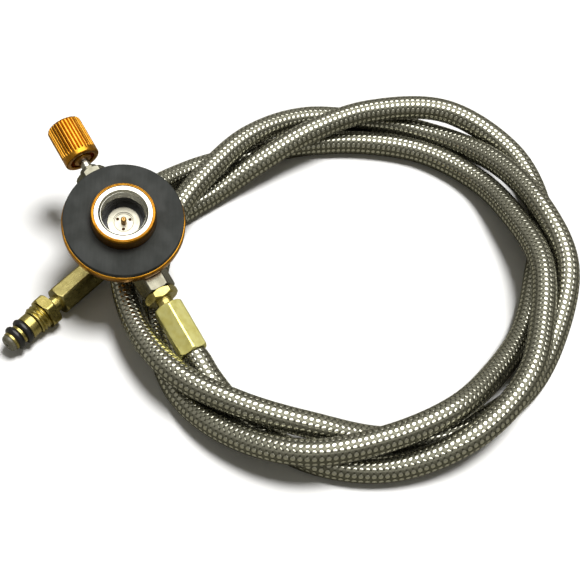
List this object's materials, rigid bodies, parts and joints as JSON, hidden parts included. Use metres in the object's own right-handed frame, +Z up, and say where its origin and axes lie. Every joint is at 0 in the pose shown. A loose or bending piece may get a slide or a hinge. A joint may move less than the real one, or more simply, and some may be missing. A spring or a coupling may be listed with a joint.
{
  "type": "propane regulator hose",
  "caption": "Needle-valve head with a threaded canister inlet, on a braided gas hose coiled in loops, ending in a plug with two sealing rings.",
  "frame": {"origin": "centre of the canister thread's mouth, on the inlet's axis", "axes": "+Z up from the table that the hose lies on, +X towards the loops, +Y towards the knob's side; the inlet's axis leans 17.7 degrees from +Z towards the outlet and the front"},
  "size_m": [0.1456, 0.1172, 0.0325],
  "materials": {
    "anodised_gold": "bright gold anodised",
    "nickel": "nickel plated",
    "pad_rubber": "matte charcoal",
    "seal_rubber": "smooth black",
    "bronze": "plain bronze",
    "packing_plastic": "white packing",
    "steel": "bright turned steel",
    "copper": "copper washer",
    "brass": "bright brass",
    "hose_rubber": "black rubber",
    "braid": "steel braid over rubber",
    "olive_brass": "dull brass",
    "grey_plastic": "grey moulded"
  },
  "bodies": {
    "head": {"inlet_cup": "anodised_gold", "thread_insert": "nickel", "rubber_pad": "pad_rubber", "inlet_seal": "seal_rubber", "pin_carrier": "nickel", "actuator_pin": "bronze", "gas_filter": "bronze", "valve_body": "nickel", "spindle_packing": "packing_plastic", "gland_nut": "nickel", "outlet_washer": "copper", "outlet_nipple": "nickel", "hose_tail": "brass", "head_ferrule": "brass", "head_hose_end": "hose_rubber", "hose": "braid", "plug_hose_end": "hose_rubber", "plug_ferrule": "olive_brass", "plug_spigot": "olive_brass", "rear_o_ring": "seal_rubber", "front_o_ring": "seal_rubber", "plug_nose": "grey_plastic"},
    "stem_seal": {"spindle_o_ring": "seal_rubber"},
    "stem": {"valve_spindle": "steel", "knob": "anodised_gold", "knob_screw": "steel"},
    "nut": {"coupling_nut": "olive_brass"}
  },
  "joints": [
    {"name": "spindle_travel", "type": "slide", "parent": "head", "child": "stem_seal", "axis": [-0.5054, 0.8088, 0.3007], "range_m": [0, 0.0014]},
    {"name": "knob_turn", "type": "hinge", "parent": "stem_seal", "child": "stem", "pos_m": [-0.00133, 0.00328, -0.01105], "axis": [-0.5054, 0.8088, 0.3007], "range_deg": [0, 720]},
    {"name": "nut_turn", "type": "hinge", "parent": "head", "child": "nut", "pos_m": [-0.02225, -0.01215, -0.02535], "axis": [-0.6428, -0.766, 0], "continuous": true}
  ],
  "couplings": [
    {"joint": "knob_turn", "follows": "spindle_travel", "rad_per_m": 8976}
  ]
}
